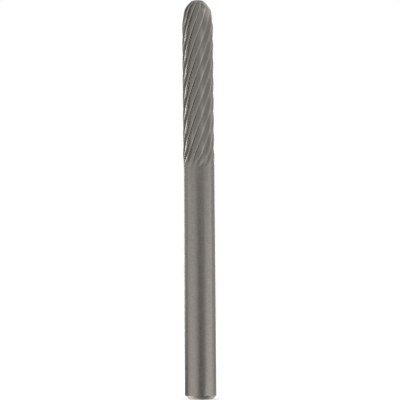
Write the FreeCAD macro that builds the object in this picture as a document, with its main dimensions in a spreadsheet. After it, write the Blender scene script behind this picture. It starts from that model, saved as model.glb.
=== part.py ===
# Solid carbide burr: a ground rod with fourteen helical flutes over a blunt nose.
# The rod stands on its shank end at the origin, and +Z runs along its axis to the tip.
import FreeCAD, Part
import Sketcher
import math
import os

Vector = FreeCAD.Vector

# Driving dimensions in millimetres and degrees.
SIZES = [
    ("overall_length", "38.0"),
    ("rod_diameter", "3.0"),
    ("chamfer_width", "0.30"),
    ("chamfer_length", "0.35"),
    ("tip_flat_diameter", "1.10"),
    ("nose_length", "1.86"),
    ("shoulder_drop", "0.87"),
    ("shoulder_length", "2.70"),
    ("cut_length", "14.0"),
    ("runout_length", "1.95"),
    ("flute_count", "14"),
    ("helix_lead", "24.65"),
    ("flute_index_angle", "12.2"),
    ("flute_depth", "0.14"),
    ("rake_lean", "0.04"),
    ("flute_floor_width", "0.09"),
    ("edge_drop", "0.015"),
    ("swarf_thickness", "0.60"),
]

# Sections of the toothed form along the head, counted zone by zone.
RUNOUT_STEPS = 4
STRAIGHT_STEPS = 9
SHOULDER_STEPS = 4
NOSE_STEPS = 4

# The grinding wheel goes on past the end of the run-out until it is clear of the rod.
RUNOUT_OVERTRAVEL = 1.2

# Expressions on the sheet that several features share.
ROD_RADIUS = "(Sizes.rod_diameter / 2)"
TIP_RADIUS = "(Sizes.tip_flat_diameter / 2)"


def arc_radius(step, length):
    """Radius of an arc that leaves the rod's side tangentially and falls in by a step."""
    return f"(({step}^2 + {length}^2) / (2 * {step}))"


def arc_crest(radius, start_drop, drop):
    """Crest radius at a depth below the tip, on an arc that starts tangent to the rod."""
    return f"({ROD_RADIUS} - {radius} + sqrt({radius}^2 - ({start_drop} - {drop})^2))"


# The nose arc ends at the flat of the tip, and the shoulder arc ends on the nose arc.
NOSE_RADIUS = arc_radius(f"({ROD_RADIUS} - {TIP_RADIUS})", "Sizes.nose_length")
SHOULDER_CREST = arc_crest(NOSE_RADIUS, "Sizes.nose_length", "Sizes.shoulder_drop")
SHOULDER_RADIUS = arc_radius(f"({ROD_RADIUS} - {SHOULDER_CREST})",
                             "(Sizes.shoulder_length - Sizes.shoulder_drop)")

SEAM_ANGLE = ("Sizes.flute_index_angle"
              " - 360 * (Sizes.cut_length + Sizes.runout_length) / Sizes.helix_lead")


def make_sheet(doc):
    """Keep the driving dimensions in one sheet, each under its own alias."""
    sheet = doc.addObject("Spreadsheet::Sheet", "Sizes")
    for row, (alias, text) in enumerate(SIZES, start=1):
        sheet.set(f"A{row}", alias)
        sheet.set(f"B{row}", text)
        sheet.setAlias(f"B{row}", alias)
    doc.recompute()
    return sheet


def value(sheet, expression):
    """Work out an expression on the sheet as a plain number."""
    return float(sheet.evalExpression(expression))


def origin_part(body, role):
    """Find a plane of the body's own origin."""
    return next(f for f in body.Origin.OriginFeatures if f.Role == role)


def add_blank(doc, sheet):
    """Turn the blank: end chamfer, straight rod, shoulder arc, nose arc and flat tip."""
    body = doc.addObject("PartDesign::Body", "Blank")
    sketch = body.newObject("Sketcher::SketchObject", "BlankProfile")
    sketch.AttachmentSupport = (origin_part(body, "XZ_Plane"), [""])
    sketch.MapMode = "FlatFace"
    # The rod's seam meets a cutting edge where the run-out ends, and so crosses no land.
    sketch.setExpression("AttachmentOffset",
                         f"placement(vector(0; 0; 0); rotation(0; {SEAM_ANGLE}; 0))")

    length = value(sheet, "Sizes.overall_length")
    radius = value(sheet, ROD_RADIUS)
    shoulder = Vector(value(sheet, SHOULDER_CREST), length - value(sheet, "Sizes.shoulder_drop"))
    tip_edge = Vector(value(sheet, TIP_RADIUS), length)
    rod_top = Vector(radius, length - value(sheet, "Sizes.shoulder_length"))
    corners = [
        Vector(0, length),
        Vector(0, 0),
        Vector(radius - value(sheet, "Sizes.chamfer_width"), 0),
        Vector(radius, value(sheet, "Sizes.chamfer_length")),
        rod_top,
    ]

    def add_arc(arc_size, start_drop, first, last):
        centre = Vector(radius - arc_size, length - value(sheet, start_drop))
        angles = [math.atan2(p.y - centre.y, p.x - centre.x) for p in (first, last)]
        circle = Part.Circle(centre, Vector(0, 0, 1), arc_size)
        return sketch.addGeometry(Part.ArcOfCircle(circle, *angles))

    lines = [sketch.addGeometry(Part.LineSegment(a, b)) for a, b in zip(corners, corners[1:])]
    axis, base, chamfer, side = lines
    brow = add_arc(value(sheet, SHOULDER_RADIUS), "Sizes.shoulder_length", rod_top, shoulder)
    nose = add_arc(value(sheet, NOSE_RADIUS), "Sizes.nose_length", shoulder, tip_edge)
    flat = sketch.addGeometry(Part.LineSegment(tip_edge, corners[0]))

    loop = lines + [brow, nose, flat]
    for first, second in zip(loop, loop[1:] + loop[:1]):
        kind = "Tangent" if (first, second) == (side, brow) else "Coincident"
        sketch.addConstraint(Sketcher.Constraint(kind, first, 2, second, 1))
    sketch.addConstraint(Sketcher.Constraint("Coincident", base, 1, -1, 1))
    sketch.addConstraint(Sketcher.Constraint("Vertical", axis))
    sketch.addConstraint(Sketcher.Constraint("Horizontal", base))
    sketch.addConstraint(Sketcher.Constraint("Vertical", side))
    sketch.addConstraint(Sketcher.Constraint("Horizontal", flat))

    def bind(name, kind, places, expression):
        constraint = Sketcher.Constraint(kind, *places, value(sheet, expression))
        sketch.renameConstraint(sketch.addConstraint(constraint), name)
        sketch.setExpression(f"Constraints.{name}", expression)

    datum = (-1, 1)
    bind("overall_length", "DistanceY", (*datum, axis, 1), "Sizes.overall_length")
    bind("end_face", "DistanceX", (*datum, base, 2), f"{ROD_RADIUS} - Sizes.chamfer_width")
    bind("chamfer_top", "DistanceY", (*datum, chamfer, 2), "Sizes.chamfer_length")
    bind("rod_side", "DistanceX", (*datum, side, 1), ROD_RADIUS)
    bind("rod_top", "DistanceY", (*datum, side, 2), "Sizes.overall_length - Sizes.shoulder_length")
    bind("shoulder_radius", "Radius", (brow,), SHOULDER_RADIUS)
    bind("shoulder_height", "DistanceY", (*datum, brow, 2),
         "Sizes.overall_length - Sizes.shoulder_drop")
    bind("nose_radius", "Radius", (nose,), NOSE_RADIUS)
    bind("tip_edge", "DistanceX", (*datum, flat, 1), TIP_RADIUS)

    turned = body.newObject("PartDesign::Revolution", "TurnedRod")
    turned.Profile = sketch
    turned.ReferenceAxis = (sketch, ["V_Axis"])
    turned.Angle = 360
    return body


def wheel_path(sheet):
    """Height, crest radius and lift of the wheel at each section, from the shank up."""
    length = value(sheet, "Sizes.overall_length")
    radius = value(sheet, ROD_RADIUS)
    head_start = length - value(sheet, "Sizes.cut_length")
    rod_top = length - value(sheet, "Sizes.shoulder_length")
    shoulder_drop = value(sheet, "Sizes.shoulder_drop")
    runout = value(sheet, "Sizes.runout_length")
    depth = value(sheet, "Sizes.flute_depth")
    path = []
    for step in range(RUNOUT_STEPS, 0, -1):
        share = RUNOUT_OVERTRAVEL * step / RUNOUT_STEPS
        path.append((head_start - share * runout, radius, share ** 2 * depth))
    for step in range(STRAIGHT_STEPS):
        share = step / STRAIGHT_STEPS
        path.append((head_start + share * (rod_top - head_start), radius, 0))
    for step in range(SHOULDER_STEPS):
        share = step / SHOULDER_STEPS
        drop = length - rod_top - share * (length - rod_top - shoulder_drop)
        crest = value(sheet, arc_crest(SHOULDER_RADIUS, "Sizes.shoulder_length", drop))
        path.append((length - drop, crest, 0))
    # The last section lies one step above the tip, so the flutes run out through it.
    for step in range(NOSE_STEPS + 2):
        drop = shoulder_drop * (1 - step / NOSE_STEPS)
        crest = value(sheet, arc_crest(NOSE_RADIUS, "Sizes.nose_length", drop))
        path.append((length - drop, crest, 0))
    return path


def turned_about_axis(point, angle):
    """Turn a point about the rod's axis by an angle in radians."""
    return Vector(point.x * math.cos(angle) - point.y * math.sin(angle),
                  point.x * math.sin(angle) + point.y * math.cos(angle))


def crossing(first, first_way, second, second_way):
    """Point where two lines in the plane cross."""
    across = first_way.x * second_way.y - first_way.y * second_way.x
    gap = second - first
    return first + first_way * ((gap.x * second_way.y - gap.y * second_way.x) / across)


def gap_outline(sheet, lift):
    """Gap between two teeth: foot of the rake face, far edge of the floor, next cutting edge.

    The rake face leans a little ahead of the radius at its foot, as on a blunt carbide tooth,
    and the relief face rises straight to the next cutting edge. The lift moves the whole gap
    out along its middle."""
    pitch = 2 * math.pi / value(sheet, "Sizes.flute_count")
    shift = turned_about_axis(Vector(lift, 0), pitch / 2)
    edge = Vector(value(sheet, ROD_RADIUS), 0)
    rake_foot = Vector(edge.x - value(sheet, "Sizes.flute_depth"),
                       value(sheet, "Sizes.rake_lean"))
    floor_end = rake_foot + Vector(0, value(sheet, "Sizes.flute_floor_width"))
    relief_way = turned_about_axis(edge, pitch) - floor_end
    next_foot = turned_about_axis(rake_foot + shift, pitch)
    next_rake_way = turned_about_axis(edge - rake_foot, pitch)
    next_edge = crossing(floor_end + shift, relief_way, next_foot, next_rake_way)
    return [rake_foot + shift, floor_end + shift, next_edge]


def toothed_outline(sheet, height, crest, lift):
    """Closed outline of all the teeth at one height, in proportion to the crest radius.

    The cutting edges lie a little under the blank's surface."""
    count = round(value(sheet, "Sizes.flute_count"))
    scale = (crest - value(sheet, "Sizes.edge_drop")) / value(sheet, ROD_RADIUS)
    rise = height - value(sheet, "Sizes.overall_length")
    twist = math.radians(360 * rise / value(sheet, "Sizes.helix_lead")
                         + value(sheet, "Sizes.flute_index_angle"))
    points = []
    for number in range(count):
        for point in gap_outline(sheet, lift):
            flat = turned_about_axis(point * scale, twist + 2 * math.pi * number / count)
            points.append(Vector(flat.x, flat.y, height))
    return Part.makePolygon(points + points[:1])


def add_toothed_form(doc, sheet):
    """Loft the toothed outlines into the twisted form that the grinding wheel leaves."""
    form = doc.addObject("Part::Feature", "ToothedForm")
    outlines = [toothed_outline(sheet, *section) for section in wheel_path(sheet)]
    form.Shape = Part.makeLoft(outlines, True)
    form.Placement = FreeCAD.Placement()
    return form


def add_burr(doc, sheet, blank, form):
    """Take away from the blank all that lies round the toothed form."""
    sleeve = doc.addObject("Part::Cylinder", "GrindingSleeve")
    sleeve.setExpression("Radius", f"{ROD_RADIUS} + Sizes.swarf_thickness")
    bottom = (f"Sizes.overall_length - Sizes.cut_length"
              f" - {RUNOUT_OVERTRAVEL} * Sizes.runout_length")
    top = f"Sizes.overall_length + Sizes.shoulder_drop / {NOSE_STEPS}"
    sleeve.setExpression("Placement.Base.z", bottom)
    sleeve.setExpression("Height", f"{top} - ({bottom})")

    swarf = doc.addObject("Part::Cut", "Swarf")
    swarf.Base = sleeve
    swarf.Tool = form
    burr = doc.addObject("Part::Cut", "Burr")
    burr.Base = blank
    burr.Tool = swarf
    burr.Label = "carbide_burr"
    doc.recompute()
    return burr


def check(doc, blank, burr):
    """Stop if an object failed, the flutes cut nothing, or the solid isn't sound."""
    for item in doc.Objects:
        if "Invalid" in item.State or "Error" in item.State:
            raise RuntimeError(f"{item.Name} failed: {item.State}")
    shape = burr.Shape
    if shape.isNull() or not shape.isValid() or len(shape.Solids) != 1:
        raise RuntimeError(f"{burr.Label} is not one sound solid")
    if shape.Volume >= blank.Shape.Volume:
        raise RuntimeError("the flutes cut nothing")


def main():
    os.makedirs("parts", exist_ok=True)
    doc = FreeCAD.newDocument("CarbideBurr")
    sheet = make_sheet(doc)
    blank = add_blank(doc, sheet)
    form = add_toothed_form(doc, sheet)
    burr = add_burr(doc, sheet, blank, form)
    check(doc, blank, burr)
    burr.Shape.exportStep(f"parts/{burr.Label}.step")
    print(f"{burr.Label}: {burr.Shape.Volume:.2f} mm3, {len(burr.Shape.Faces)} faces")


main()
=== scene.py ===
"""Studio view of a solid carbide burr that stands upright on the end of its shank."""

import math

import bpy
from mathutils import Matrix, Vector


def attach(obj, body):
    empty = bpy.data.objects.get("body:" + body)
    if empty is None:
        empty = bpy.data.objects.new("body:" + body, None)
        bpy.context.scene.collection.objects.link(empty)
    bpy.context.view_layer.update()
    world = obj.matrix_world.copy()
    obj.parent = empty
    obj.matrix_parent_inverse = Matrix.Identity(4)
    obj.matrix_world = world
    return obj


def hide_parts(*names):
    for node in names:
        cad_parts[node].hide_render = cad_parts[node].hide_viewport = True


MM = 0.001

# The rod, in millimetres.
LENGTH = 38.0
ROD_RADIUS = 1.5
CHAMFER_WIDTH = 0.30
CHAMFER_LENGTH = 0.35
CHAMFER_ROUNDING = 0.02
TIP_RADIUS = 0.55
NOSE_LENGTH = 1.86
SHOULDER_DROP = 0.87
SHOULDER_LENGTH = 2.70

# The flutes, in millimetres and degrees.
CUT_LENGTH = 14.0
RUNOUT_LENGTH = 1.95
FLUTES = 14
HELIX_LEAD = 24.65
INDEX_ANGLE = 12.2
FLUTE_DEPTH = 0.14
RAKE_LEAN = 0.04
FLOOR_WIDTH = 0.09
FOOT_RADIUS = 0.03
FLOOR_RADIUS = 0.15
EDGE_DROP = 0.015
EDGE_WEAR = 0.005
RELIEF_CROWN = 0.015

# How finely the mesh follows the form: spacing of the rows in millimetres, and counts.
HEAD_ROWS = 0.10
NOSE_ROWS = 0.04
SHANK_ROWS = 12
GAP_COLUMNS = 22
LAND_COLUMNS = 3
CURVE_STEPS = 6
HALVINGS = 30
SHARP_ANGLE = 35

# How far a gap's section is drawn on past both edges, as multiples of the rake face and of the
# relief's last step.
RAKE_OVERRUN = 2
RELIEF_OVERRUN = 4

# Radius of the small face that closes the end of the shank at the axis, in millimetres.
AXIS_RADIUS = 1e-4

# The finish: colour of the carbide at a tone of 1, grain scales per metre, and depths in mm.
CARBIDE = (0.302, 0.280, 0.256)
SPECKLE_SCALE = 7000.0
CLOUD_SCALE = 1500.0
FINE_SCALE = 11000.0
RINGS_PER_MM = 9.0
ROD_TONE = 0.64
ROD_ROUGHNESS = 0.28
ROD_GRAIN_DEPTH = 0.0012
FLUTE_TONE = 0.68
FLUTE_ROUGHNESS = 0.17
FLUTE_GRAIN_DEPTH = 0.0010

# The camera, from the photo's silhouette: place in millimetres, angles in degrees.
CAMERA_OFFSET = 0.087
CAMERA_DISTANCE = 150.0
CAMERA_HEIGHT = 7.5
CAMERA_PITCH = 4.321
CAMERA_ROLL = 0.487
LENS = 142.2
SENSOR = 36.0
CLIP_NEAR = 0.005
CLIP_FAR = 10.0

# The studio, in metres and watts.
FLOOR_REACH = 3.0
FLOOR_COLOUR = (0.86, 0.86, 0.86, 1)
FLOOR_GLOW = 0.22
WHITE = (1, 1, 1, 1)
LAMP_PLACE = (-0.20, -0.25, 0.35)
LAMP_SIZE = 0.30
LAMP_POWER = 0.35
CARD_DISTANCE = 1.0
CARD_SPACING = 0.01
CARD_MESH_ANGLE = 10

# Cards round the burr: azimuth of the middle from the front, width, lower and upper
# elevation in degrees, and strength. A later card hangs in front of an earlier one.
CARDS = {
    "room_wall": (0, 360, -90, 90, 0.6),
    "camera_side": (15, 50, -15, 0, 0.08),
    "camera_body": (-3, 16, 0, 8, 0.2),
    "back_left": (-170, 60, -50, 15, 3.1),
    "right_side": (65, 50, -15, 0, 1.5),
    "left_side": (-58, 64, -15, 2, 1.25),
    "front_table": (10, 180, -90, -30, 0.23),
    "back_gap": (-135, 50, -30, 0, 0.04),
    "left_foot": (-130, 60, -90, -15, 1.4),
    "right_kick": (35, 10, -50, -15, 3.4),
    "right_band": (50, 40, 15, 30, 0.5),
    "right_high": (90, 140, 30, 50, 1.0),
    "front_top": (0, 20, 15, 30, 0.9),
    "right_strip": (90, 20, -30, 15, 1.2),
    "back_table": (135, 90, -50, -15, 1.0),
    "left_strip": (-135, 10, 0, 30, 1.3),
    "left_edge": (-80, 20, -15, 15, 1.0),
    "right_back": (125, 10, 15, 90, 1.5),
    "left_table": (-75, 90, -50, -30, 2.85),
}


class Signal:
    """A socket whose arithmetic adds Math nodes to its tree."""

    def __init__(self, tree, socket):
        self.tree = tree
        self.socket = socket

    def _math(self, operation, *values):
        return self.tree.node("Math", {"operation": operation}, *values)

    def __add__(self, other):
        return self._math("ADD", self, other)

    def __radd__(self, other):
        return self._math("ADD", other, self)

    def __sub__(self, other):
        return self._math("SUBTRACT", self, other)

    def __rsub__(self, other):
        return self._math("SUBTRACT", other, self)

    def __mul__(self, other):
        return self._math("MULTIPLY", self, other)

    def __rmul__(self, other):
        return self._math("MULTIPLY", other, self)

    def fraction(self):
        return self._math("FRACT", self)


class Finish:
    """The node tree of a material or a world, with one method that adds any node."""

    def __init__(self, name, owner=None):
        self.material = owner or bpy.data.materials.new(name)
        self.material.use_nodes = True
        self.nodes = self.material.node_tree.nodes
        self.links = self.material.node_tree.links
        self.nodes.clear()

    def node(self, kind, settings=None, *values, out=0, **named):
        """Add a node with its settings, and give its sockets their values or links."""
        made = self.nodes.new("ShaderNode" + kind)
        for key, setting in (settings or {}).items():
            setattr(made, key, setting)
        inputs = list(enumerate(values))
        inputs += [(key.replace("_", " "), entry) for key, entry in named.items()]
        for key, entry in inputs:
            if isinstance(entry, Signal):
                self.links.new(entry.socket, made.inputs[key])
            else:
                made.inputs[key].default_value = entry
        return Signal(self, made.outputs[out]) if made.outputs else None

    def noise(self, place, scale, detail):
        """Even grain between 0 and 1."""
        return self.node("TexNoise", None, Vector=place, Scale=scale, Detail=detail)

    def rise(self, signal, low, high):
        """A smooth step from 0 to 1 between two levels."""
        settings = {"interpolation_type": "SMOOTHSTEP"}
        return self.node("MapRange", settings, signal, low, high, 0.0, 1.0)

    def metal(self, tone, roughness, relief, depth):
        """Bare carbide: its grey by a tone, its roughness, and its grain as a bump in mm."""
        red, green, blue = [tone * share for share in CARBIDE]
        colour = self.node("CombineColor", None, red, green, blue)
        normal = self.node("Bump", None, Strength=1.0, Distance=depth * MM, Height=relief)
        shader = self.node("BsdfPrincipled", None, Base_Color=colour, Metallic=1.0,
                           Roughness=roughness, Normal=normal)
        self.node("OutputMaterial", None, Surface=shader)
        return self.material


def crest_radius(z):
    """Radius of the turned blank at a height: rod, shoulder arc, then nose arc."""
    drop = LENGTH - z
    step = ROD_RADIUS - TIP_RADIUS
    nose = (step ** 2 + NOSE_LENGTH ** 2) / (2 * step)

    def nose_crest(depth):
        return ROD_RADIUS - nose + math.sqrt(nose ** 2 - (NOSE_LENGTH - depth) ** 2)

    if drop >= SHOULDER_LENGTH:
        return ROD_RADIUS
    if drop <= SHOULDER_DROP:
        return nose_crest(drop)
    fall = ROD_RADIUS - nose_crest(SHOULDER_DROP)
    reach = SHOULDER_LENGTH - SHOULDER_DROP
    shoulder = (fall ** 2 + reach ** 2) / (2 * fall)
    return ROD_RADIUS - shoulder + math.sqrt(shoulder ** 2 - (SHOULDER_LENGTH - drop) ** 2)


def turned(point, angle):
    """A point of the section turned about the axis."""
    x, y = point
    return (x * math.cos(angle) - y * math.sin(angle), x * math.sin(angle) + y * math.cos(angle))


def rounded(before, corner, after, radius):
    """Points of the arc that rounds off a corner between two straight runs."""
    into = (Vector(corner) - Vector(before)).normalized()
    out = (Vector(after) - Vector(corner)).normalized()
    turn = into.angle_signed(out)
    reach = radius * math.tan(abs(turn) / 2)
    side = 1 if into.cross(out) > 0 else -1
    start = Vector(corner) - into * reach
    inward = Vector((-into.y, into.x)) * side
    centre = start + inward * radius
    return [tuple(centre + Vector(turned(start - centre, side * abs(turn) * step / CURVE_STEPS)))
            for step in range(CURVE_STEPS + 1)]


def gap_corners():
    """Corners of a full gap: cutting edge, foot of the rake face, end of the floor, next edge."""
    edge = Vector((ROD_RADIUS, 0.0))
    foot = Vector((ROD_RADIUS - FLUTE_DEPTH, RAKE_LEAN))
    floor_end = foot + Vector((0.0, FLOOR_WIDTH))
    return edge, foot, floor_end, Vector(turned(edge, 2 * math.pi / FLUTES))


def crowned(start, end):
    """Points of the relief, worn a little round between its two ends."""
    across = (end - start).normalized()
    outward = Vector((across.y, -across.x))
    steps = CURVE_STEPS + 1
    shares = [step / steps for step in range(steps + 1)]
    return [start.lerp(end, share) + outward * RELIEF_CROWN * 4 * share * (1 - share)
            for share in shares]


def gap_section():
    """Section of one gap: rake face, eased foot and floor, and a relief that runs past the rod."""
    edge, foot, floor_end, next_edge = gap_corners()
    above = edge + (edge - foot) * RAKE_OVERRUN
    floor_curve = rounded(foot, floor_end, next_edge, FLOOR_RADIUS)
    relief = crowned(Vector(floor_curve[-1]), next_edge)
    beyond = next_edge + (next_edge - relief[-2]) * RELIEF_OVERRUN
    parts = [[above, edge], rounded(edge, foot, floor_end, FOOT_RADIUS), floor_curve,
             relief[1:], [beyond]]
    return [Vector(point) for part in parts for point in part]


def edge_radius(lift):
    """Radius at which one gap's relief meets the next gap's rake face, at a given lift."""
    pitch = 2 * math.pi / FLUTES
    edge, foot, floor_end, next_edge = gap_corners()
    shift = Vector(turned((lift, 0.0), pitch / 2))
    relief_way = next_edge - floor_end
    next_foot = Vector(turned(foot + shift, pitch))
    rake_way = Vector(turned(edge - foot, pitch))
    start = floor_end + shift
    place = (next_foot - start).cross(rake_way) / relief_way.cross(rake_way)
    return (start + relief_way * place).length


def clipped(section, lift, radius):
    """The stretch of a lifted gap that lies inside a radius, or None where it is gone."""
    shift = Vector(turned((lift, 0.0), math.pi / FLUTES))
    points = [point + shift for point in section]
    inside = [index for index, point in enumerate(points) if point.length < radius]
    if not inside:
        return None

    def cut(index, outer):
        """Place, between a point inside the radius and its outer neighbour, of the crossing."""
        low, high = 0.0, 1.0
        for _ in range(HALVINGS):
            middle = (low + high) / 2
            if points[index].lerp(points[outer], middle).length < radius:
                low = middle
            else:
                high = middle
        return index + (outer - index) * low

    def at(place):
        """Point of the section at a place, counted in points."""
        index = min(int(place), len(points) - 2)
        return points[index].lerp(points[index + 1], place - index)

    first = cut(inside[0], inside[0] - 1)
    last = cut(inside[-1], inside[-1] + 1)
    return [at(first + (last - first) * step / GAP_COLUMNS) for step in range(GAP_COLUMNS + 1)]


def section_ring(z, section):
    """All the points round the burr at a height in the head or the run-out."""
    blank = crest_radius(min(z, LENGTH))
    share = max(0.0, (LENGTH - CUT_LENGTH - z) / RUNOUT_LENGTH)
    lift = share ** 2 * FLUTE_DEPTH
    scale = (blank - EDGE_DROP) / ROD_RADIUS
    limit = min(edge_radius(lift) - EDGE_WEAR, blank / scale)
    gap = clipped(section, lift, limit)
    if gap is None:
        return None
    pitch = 2 * math.pi / FLUTES
    start = math.atan2(gap[0].y, gap[0].x)
    end = math.atan2(gap[-1].y, gap[-1].x)
    ring = []
    twist = math.radians(360 * (z - LENGTH) / HELIX_LEAD + INDEX_ANGLE)
    for number in range(FLUTES):
        spin = twist + pitch * number
        for point in gap:
            ring.append(turned(point * scale, spin))
        for step in range(1, LAND_COLUMNS):
            angle = end + (start + pitch - end) * step / LAND_COLUMNS
            ring.append(turned((limit * scale, 0.0), spin + angle))
    return ring


def ring_of_rod(z, radius, twist):
    """Evenly spread points of the plain rod, in step with the columns of the flutes."""
    count = FLUTES * (GAP_COLUMNS + LAND_COLUMNS)
    return [(radius * math.cos(twist + 2 * math.pi * index / count),
             radius * math.sin(twist + 2 * math.pi * index / count), z) for index in range(count)]


def burr_rings():
    """Rings of points from the end of the shank to the tip, and how many are plain rod."""
    section = gap_section()
    rings = []
    z = LENGTH
    while True:
        ring = section_ring(z, section)
        if ring is None:
            break
        rings.append([(x, y, z) for x, y in ring])
        z -= NOSE_ROWS if z > LENGTH - SHOULDER_LENGTH else HEAD_ROWS
    last = rings[-1]
    twist = math.atan2(last[0][1], last[0][0]) - math.pi / FLUTES

    profile = [(AXIS_RADIUS, 0.0)]
    corners = [(0.0, 0.0), (ROD_RADIUS - CHAMFER_WIDTH, 0.0), (ROD_RADIUS, CHAMFER_LENGTH),
               (ROD_RADIUS, z)]
    for before, corner, after in zip(corners, corners[1:], corners[2:]):
        profile += rounded(before, corner, after, CHAMFER_ROUNDING)[::2]
    bottom = profile[-1][1]
    for step in range(1, SHANK_ROWS + 1):
        profile.append((ROD_RADIUS, bottom + (z - bottom) * step / SHANK_ROWS))
    shank = [ring_of_rod(height, radius, twist) for radius, height in profile]
    return shank + rings[::-1], len(shank)


def make_burr():
    """One closed mesh of the whole burr. Its UVs count the flutes across and millimetres up."""
    rings, shank_rows = burr_rings()
    count = len(rings[0])
    per_flute = count // FLUTES
    points = [Vector(point) * MM for ring in rings for point in ring]
    faces = []
    slots = []
    places = []
    for row in range(len(rings) - 1):
        base = row * count
        low, high = rings[row][0][2], rings[row + 1][0][2]
        for index in range(count):
            after = (index + 1) % count
            faces.append((base + index, base + after, base + count + after, base + count + index))
            left, right = index / per_flute, (index + 1) / per_flute
            places += [(left, low), (right, low), (right, high), (left, high)]
            in_gap = index % per_flute < GAP_COLUMNS
            cut = row >= shank_rows and (in_gap or low > LENGTH - CUT_LENGTH - HEAD_ROWS)
            slots.append(1 if cut else 0)
    top = (len(rings) - 1) * count
    faces.append(tuple(range(count))[::-1])
    faces.append(tuple(range(top, top + count)))
    slots += [0, 0]
    places += [(0.0, 0.0)] * count + [(0.0, LENGTH)] * count

    mesh = bpy.data.meshes.new("carbide_burr_body")
    mesh.from_pydata(points, [], faces)
    mesh.polygons.foreach_set("material_index", slots)
    mesh.polygons.foreach_set("use_smooth", [True] * len(faces))
    layer = mesh.uv_layers.new(name="flutes")
    layer.data.foreach_set("uv", [number for place in places for number in place])
    mesh.validate()
    mesh.set_sharp_from_angle(angle=math.radians(SHARP_ANGLE))
    burr = bpy.data.objects.new("carbide_burr_body", mesh)
    bpy.context.collection.objects.link(burr)
    return burr


def ground_rod():
    """Fine matte grind of the shank: an even grain, faint rings and a painted highlight on the
    chamfer.
    """
    finish = Finish("ground_rod")
    place = finish.node("TexCoord", None, out=3)
    grain = finish.noise(place, SPECKLE_SCALE, 3.0)
    cloud = finish.noise(place, CLOUD_SCALE, 2.0)
    height = finish.node("SeparateXYZ", None, place, out=2) * (1 / MM)
    turns = finish.node("CombineXYZ", None, 0.0, 0.0, height * RINGS_PER_MM)
    rings = finish.noise(turns, 1.0, 2.0)
    # Painted highlight: the chamfer's colour is raised, and its roughness is lowered a little.
    chamfer_highlight_and_polish = 1.0 - finish.rise(height, CHAMFER_LENGTH - CHAMFER_ROUNDING,
                                CHAMFER_LENGTH + CHAMFER_ROUNDING)
    tone = ROD_TONE + grain * 0.62 + cloud * 0.14 + rings * 0.06 + chamfer_highlight_and_polish * 0.18
    roughness = ROD_ROUGHNESS + grain * 0.10 + cloud * 0.04 - chamfer_highlight_and_polish * 0.06
    return finish.metal(tone, roughness, grain * 0.7 + rings * 0.3, ROD_GRAIN_DEPTH)


def ground_flutes():
    """Finer grind of the flutes: streaks along the helix, painted shade at the feet and painted
    highlights on worn edges.
    """
    finish = Finish("ground_flutes")
    place = finish.node("TexCoord", None, out=2)
    flute = finish.node("SeparateXYZ", None, place, out=0)
    height = finish.node("SeparateXYZ", None, place, out=1)
    across = flute.fraction()
    long_run = finish.node("CombineXYZ", None, flute * 5.0, height * 0.5, 0.0)
    short_run = finish.node("CombineXYZ", None, flute * 22.0, height * 1.6, 0.0)
    long_streak = finish.noise(long_run, 1.0, 2.0)
    short_streak = finish.noise(short_run, 1.0, 2.0)
    grain = finish.noise(finish.node("TexCoord", None, out=3), FINE_SCALE, 2.0)
    gap_share = GAP_COLUMNS / (GAP_COLUMNS + LAND_COLUMNS)
    # Painted highlight near each cutting edge: the colour is raised a lot, and the roughness is
    # lowered a little as wear.
    edge = finish.rise(across, gap_share - 0.12, gap_share - 0.02)
    # Painted shade at the rake face and foot of each gap: the colour is lowered, and the roughness
    # is raised a little.
    foot = 1.0 - finish.rise(across, 0.02, 0.30)
    tone = (FLUTE_TONE + long_streak * 0.24 + short_streak * 0.18 + grain * 0.10
            + edge * 0.46 - foot * 0.10)
    roughness = (FLUTE_ROUGHNESS + long_streak * 0.06 + short_streak * 0.06
                 - edge * 0.04 + foot * 0.04)
    return finish.metal(tone, roughness, short_streak * 0.8 + grain * 0.2, FLUTE_GRAIN_DEPTH)


def place_camera():
    """Put the camera where the photo was taken, tilted up and rolled a little."""
    data = bpy.data.cameras.new("camera")
    data.lens = LENS
    data.sensor_width = SENSOR
    data.clip_start = CLIP_NEAR
    data.clip_end = CLIP_FAR
    camera = bpy.data.objects.new("camera", data)
    place = Vector((CAMERA_OFFSET, -CAMERA_DISTANCE, CAMERA_HEIGHT)) * MM
    pitch = Matrix.Rotation(math.radians(90 + CAMERA_PITCH), 4, "X")
    roll = Matrix.Rotation(math.radians(-CAMERA_ROLL), 4, "Z")
    camera.matrix_world = Matrix.Translation(place) @ pitch @ roll
    bpy.context.collection.objects.link(camera)
    bpy.context.scene.camera = camera


def stage_mesh(name, points, faces, material):
    """A piece of the studio, which isn't part of the burr."""
    mesh = bpy.data.meshes.new(name)
    mesh.from_pydata(points, [], faces)
    mesh.materials.append(material)
    made = bpy.data.objects.new(name, mesh)
    bpy.context.collection.objects.link(made)
    return made


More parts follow.
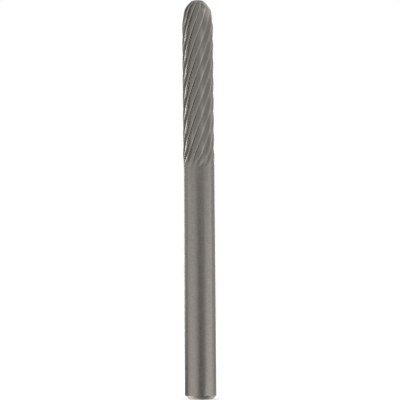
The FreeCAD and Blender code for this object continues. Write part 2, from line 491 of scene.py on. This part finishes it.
def hang_card(name, order, azimuth, width, low, high, strength):
    """A curved card far round the burr, seen only in reflections."""
    radius = CARD_DISTANCE - CARD_SPACING * order
    middle = Vector((0.0, 0.0, LENGTH / 2 * MM))
    columns = max(2, round(width / CARD_MESH_ANGLE))
    rows = max(2, round((high - low) / CARD_MESH_ANGLE))
    points = []
    for column in range(columns + 1):
        turn = math.radians(azimuth + width * (column / columns - 0.5))
        for row in range(rows + 1):
            tilt = math.radians(low + (high - low) * row / rows)
            way = Vector((math.sin(turn) * math.cos(tilt), -math.cos(turn) * math.cos(tilt),
                          math.sin(tilt)))
            points.append(middle + way * radius)
    faces = [(a, a + rows + 1, a + rows + 2, a + 1) for column in range(columns)
             for a in range(column * (rows + 1), column * (rows + 1) + rows)]
    finish = Finish(name)
    glow = finish.node("Emission", None, WHITE, strength)
    finish.node("OutputMaterial", None, glow)
    made = stage_mesh(name, points, faces, finish.material)
    made.visible_camera = False
    made.visible_diffuse = False
    made.visible_transmission = False
    made.visible_shadow = False


def lay_floor():
    """Pale floor that the camera sees as white, with the burr's soft shadow on it."""
    finish = Finish("pale_floor")
    seen = finish.node("LightPath", None, out=0)
    matte = finish.node("BsdfDiffuse", None, FLOOR_COLOUR)
    glow = finish.node("Emission", None, WHITE, seen * FLOOR_GLOW)
    both = finish.node("AddShader", None, matte, glow)
    finish.node("OutputMaterial", None, both)
    reach = FLOOR_REACH
    corners = [(-reach, -reach, 0), (reach, -reach, 0), (reach, reach, 0), (-reach, reach, 0)]
    floor = stage_mesh("floor", corners, [(0, 1, 2, 3)], finish.material)
    floor.visible_glossy = False


def light_studio():
    """White surroundings, one soft lamp for the floor and the cards that the metal shows."""
    world = bpy.data.worlds.new("studio")
    bpy.context.scene.world = world
    sky = Finish("studio", world)
    background = sky.node("Background", None, WHITE, 1.0)
    sky.node("OutputWorld", None, background)

    lamp = bpy.data.lights.new("soft_lamp", "AREA")
    lamp.size = LAMP_SIZE
    lamp.energy = LAMP_POWER
    made = bpy.data.objects.new("soft_lamp", lamp)
    place = Vector(LAMP_PLACE)
    made.location = place
    made.rotation_euler = (-place).to_track_quat("-Z", "Y").to_euler()
    made.visible_glossy = False
    bpy.context.collection.objects.link(made)

    for order, (name, form) in enumerate(CARDS.items()):
        hang_card(name, order, *form)


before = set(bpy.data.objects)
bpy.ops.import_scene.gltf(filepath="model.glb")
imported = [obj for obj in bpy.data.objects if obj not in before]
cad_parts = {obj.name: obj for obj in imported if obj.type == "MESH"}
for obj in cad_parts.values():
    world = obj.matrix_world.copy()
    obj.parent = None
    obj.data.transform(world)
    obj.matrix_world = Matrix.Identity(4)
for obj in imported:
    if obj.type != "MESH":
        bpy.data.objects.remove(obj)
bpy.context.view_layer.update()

burr = make_burr()
burr.data.materials.append(ground_rod())
burr.data.materials.append(ground_flutes())
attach(burr, "root")
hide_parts("carbide_burr")

lay_floor()
light_studio()
place_camera()
bpy.context.scene.view_settings.view_transform = "Standard"
